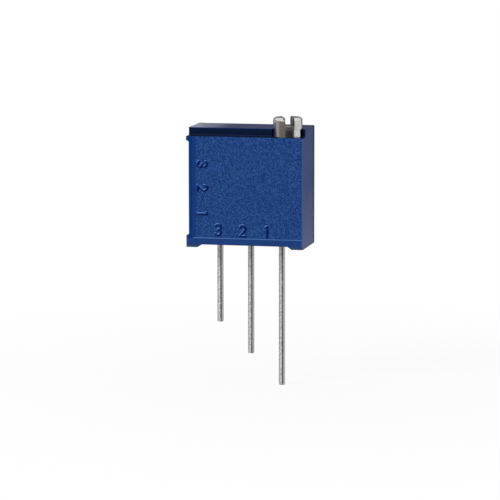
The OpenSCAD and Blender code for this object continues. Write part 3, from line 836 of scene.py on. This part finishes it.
def sweep(path, across, up, middle, width, proud):
    """A round-topped ridge along a path on the panel, with round ends."""
    stations = []
    for i, point in enumerate(path):
        along = (path[min(i + 1, len(path) - 1)] - path[max(i - 1, 0)]).normalized()
        stations.append((point, along, 1.0))
    first, start_way, _ = stations[0]
    last, end_way, _ = stations[-1]
    head, tail = [], []
    for a in TIP_ANGLES:
        head.insert(0, (first - start_way * width / 2 * math.sin(a), start_way, math.cos(a)))
        tail.append((last + end_way * width / 2 * math.sin(a), end_way, math.cos(a)))
    points, faces = [], []
    for point, along, size in head + stations + tail:
        side = Vector((along.y, -along.x)) * width / 2 * size
        for k in range(RIDGE_SIDES):
            a = 2 * math.pi * k / RIDGE_SIDES
            flat = point + side * math.cos(a)
            lift = OUTWARD * proud * size * math.sin(a)
            points.append(middle + across * flat.x + up * flat.y + lift)
    rings = len(points) // RIDGE_SIDES
    for ring in range(rings - 1):
        for k in range(RIDGE_SIDES):
            a = ring * RIDGE_SIDES + k
            b = ring * RIDGE_SIDES + (k + 1) % RIDGE_SIDES
            faces.append((a, b, b + RIDGE_SIDES, a + RIDGE_SIDES))
    faces.append(tuple(reversed(range(RIDGE_SIDES))))
    faces.append(tuple(range((rings - 1) * RIDGE_SIDES, rings * RIDGE_SIDES)))
    return points, faces


def add_ridges(name, paths, across, up, middle, width, proud, material):
    """One piece made of a ridge along each of the paths."""
    points, faces = [], []
    for path in paths:
        more, sides = sweep(path, across, up, middle, width, proud)
        faces += [tuple(i + len(points) for i in face) for face in sides]
        points += more
    add_piece(name, points, faces, material)


# Middles of the numerals: one row above the leads and one column up the left side
ROW_ACROSS = {3: -2.19 * MM, 2: -0.18 * MM, 1: 1.76 * MM}
ROW_UP = {3: 1.46 * MM, 2: 1.42 * MM, 1: 1.38 * MM}
COLUMN_ACROSS = -3.48 * MM
COLUMN_UP = {3: 6.71 * MM, 2: 4.79 * MM, 1: 2.75 * MM}
RIGHT = Vector((1, 0, 0))
UP = Vector((0, 0, 1))


def moulded_numerals():
    """Raised 3 2 1 twice: upright in the row, lying on its side in the column."""
    plane = panel_y - SKIN_LIFT
    polished = numeral_plastic()
    for numeral in (1, 2, 3):
        row = Vector((ROW_ACROSS[numeral], plane, ROW_UP[numeral]))
        column = Vector((COLUMN_ACROSS, plane, COLUMN_UP[numeral]))
        for name, middle, tall, across, up in (("row", row, ROW_HEIGHT, RIGHT, UP),
                                               ("column", column, COLUMN_HEIGHT, -UP, RIGHT)):
            add_ridges(f"{name}_numeral_{numeral}", strokes(numeral, (tall - STROKE) / 2), across, up, middle,
                       STROKE, NUMERAL_PROUD, polished)


BEAD_WIDTH = 0.14 * MM
BEAD_PROUD = 0.075 * MM


def border_bead():
    """Rounded edge of the smooth border along the foot of the panel."""
    foot = [Vector((panel_left, panel_bottom)), Vector((panel_right, panel_bottom))]
    add_ridges("border_bead", [foot], RIGHT, UP, Vector((0, panel_y, 0)), BEAD_WIDTH, BEAD_PROUD,
               finishes["case"])


front_panel()
moulded_numerals()
border_bead()


# Camera: the point that it looks at, and its place and turn about it
AIM = Vector((-0.089, -0.010, -0.449)) * MM
DISTANCE = 241.6 * MM
YAW = math.radians(12.447)
PITCH = math.radians(7.993)
ROLL = math.radians(-0.063)
LENS = 216
SENSOR = 36
NEAREST = 0.01
FARTHEST = 10


def place_camera():
    """A long lens slightly above and to the right of the front."""
    camera = bpy.data.objects.new("camera", bpy.data.cameras.new("camera"))
    camera.data.lens = LENS
    camera.data.sensor_width = SENSOR
    camera.data.clip_start = NEAREST
    camera.data.clip_end = FARTHEST
    back = Vector((math.sin(YAW) * math.cos(PITCH), -math.cos(YAW) * math.cos(PITCH), math.sin(PITCH)))
    camera.location = AIM + back * DISTANCE
    camera.rotation_mode = "QUATERNION"
    camera.rotation_quaternion = (-back).to_track_quat("-Z", "Y") @ Quaternion((0, 0, 1), ROLL)
    bpy.context.scene.collection.objects.link(camera)
    bpy.context.scene.camera = camera


FLOOR_RINGS = 24
FLOOR_SPOKES = 64
FLOOR_REACH = 0.45
FLOOR_GAP = 0.01 * MM
PLAIN_FROM = (0.012, 0.05)
PLAIN_NEAR = 0.86
PAPER_GREY = (0.86, 0.86, 0.86)
PAPER_PALE = (0.90, 0.90, 0.90)
WHITE = (1, 1, 1)


def floor_paper():
    """Pale paper that runs out to plain white, seen through from below."""
    material = bpy.data.materials.new("studio floor")
    material.use_nodes = True
    material.node_tree.nodes.clear()
    bench = Bench(material.node_tree)
    place = bench.place()
    from_middle = bench.put("VectorMath", {"Vector": place}, operation="LENGTH").outputs["Value"]
    far = bench.range(from_middle, *PLAIN_FROM)
    fibres = bench.cloud(place, scale=900.0, detail=3.0, roughness=0.6)
    matt = bench.put("BsdfDiffuse", {"Color": bench.blend(fibres, PAPER_GREY, PAPER_PALE)}).outputs[0]
    white = bench.put("Emission", {"Color": (*WHITE, 1), "Strength": 1.0}).outputs[0]
    camera = bench.put("LightPath").outputs["Is Camera Ray"]
    paper_side = bench.put("MixShader", {"Fac": bench.times(camera, bench.between(far, PLAIN_NEAR, 1.0))})
    bench.feed(paper_side.inputs[1], matt)
    bench.feed(paper_side.inputs[2], white)
    surface = bench.put("MixShader", {"Fac": bench.put("NewGeometry").outputs["Backfacing"]})
    bench.feed(surface.inputs[1], paper_side.outputs[0])
    bench.feed(surface.inputs[2], bench.put("BsdfTransparent").outputs[0])
    bench.feed(bench.put("OutputMaterial").inputs[0], surface.outputs[0])
    return material


def studio_floor():
    """Wide disc just under the leads, with finer rings near its middle."""
    floor_z = cad_box[0].z - FLOOR_GAP
    points, faces = [(0, 0, floor_z)], []
    for ring in range(1, FLOOR_RINGS + 1):
        radius = FLOOR_REACH * (ring / FLOOR_RINGS) ** 2
        for spoke in range(FLOOR_SPOKES):
            a = 2 * math.pi * spoke / FLOOR_SPOKES
            points.append((radius * math.cos(a), radius * math.sin(a), floor_z))
    for spoke in range(FLOOR_SPOKES):
        following = (spoke + 1) % FLOOR_SPOKES
        faces.append((0, 1 + spoke, 1 + following))
        for ring in range(FLOOR_RINGS - 1):
            a = 1 + ring * FLOOR_SPOKES + spoke
            b = 1 + ring * FLOOR_SPOKES + following
            faces.append((a, a + FLOOR_SPOKES, b + FLOOR_SPOKES, b))
    mesh = bpy.data.meshes.new("floor")
    mesh.from_pydata(points, [], faces)
    mesh.materials.append(floor_paper())
    floor = bpy.data.objects.new("floor", mesh)
    floor.visible_glossy = False
    bpy.context.scene.collection.objects.link(floor)


# Brightness of the studio's cards round the part: the angle in turns, then red, green and blue
CARDS = [
    (0.00, 0.11, 0.11, 0.12),
    (0.05, 0.20, 0.20, 0.21),
    (0.085, 0.20, 0.20, 0.21),
    (0.135, 0.46, 0.46, 0.46),
    (0.28, 0.46, 0.46, 0.46),
    (0.30, 0.22, 0.20, 0.17),
    (0.43, 0.20, 0.18, 0.15),
    (0.46, 0.04, 0.04, 0.04),
    (0.63, 0.03, 0.03, 0.03),
    (0.65, 0.88, 0.88, 0.88),
    (0.84, 0.88, 0.88, 0.88),
    (0.88, 0.21, 0.21, 0.22),
    (0.95, 0.21, 0.21, 0.22),
    (1.00, 0.11, 0.11, 0.12),
]
AMBIENT = (0.52, 0.52, 0.52)
OVERHEAD = (1.10, 1.10, 1.10)
OVERHEAD_EDGE = (0.30, 0.56)


def studio_world():
    """White to the lens, cards to glossy surfaces and even light to the rest."""
    world = bpy.data.worlds.new("studio")
    world.use_nodes = True
    world.node_tree.nodes.clear()
    bench = Bench(world.node_tree)
    ray = bench.put("TexCoord").outputs["Generated"]
    turned = bench.put("VectorRotate", {"Vector": ray, "Axis": (0, 0, 1), "Angle": -YAW},
                       rotation_type="AXIS_ANGLE").outputs[0]
    x, y, z = bench.parts(turned)
    angle = bench.math("ARCTAN2", x, bench.times(y, -1.0))
    ramp = bench.put("ValToRGB", {"Fac": bench.range(angle, -math.pi, math.pi)})
    stops = ramp.color_ramp.elements
    while len(stops) < len(CARDS):
        stops.new(0.5)
    for stop, (at, *colour) in zip(stops, CARDS):
        stop.position = at
        stop.color = (*colour, 1)
    cards = bench.blend(bench.range(z, *OVERHEAD_EDGE), ramp.outputs[0], OVERHEAD)
    path = bench.put("LightPath").outputs
    glossy = bench.math("MAXIMUM", path["Is Glossy Ray"], path["Is Transmission Ray"])
    light = bench.blend(glossy, AMBIENT, cards)
    light = bench.blend(path["Is Camera Ray"], light, WHITE)
    sky = bench.put("Background", {"Color": light, "Strength": 1.0})
    bench.feed(bench.put("OutputWorld").inputs[0], sky.outputs[0])
    bpy.context.scene.world = world


def soft_lamp(name, direction, distance, size, power):
    """Round lamp in a direction from the part, turned to it and left out of its reflections."""
    data = bpy.data.lights.new(name, "AREA")
    data.shape = "DISK"
    data.size = size
    data.energy = power
    lamp = bpy.data.objects.new(name, data)
    lamp.visible_glossy = False
    away = Vector(direction).normalized()
    lamp.location = away * distance
    lamp.rotation_mode = "QUATERNION"
    lamp.rotation_quaternion = away.to_track_quat("Z", "Y")
    bpy.context.scene.collection.objects.link(lamp)


place_camera()
studio_floor()
studio_world()
soft_lamp("key lamp", direction=(-0.60, -0.66, 0.56), distance=0.25, size=0.12, power=0.44)
soft_lamp("back lamp", direction=(-0.35, 0.93, 0.05), distance=0.25, size=0.20, power=0.30)

bpy.context.scene.view_settings.view_transform = "Standard"
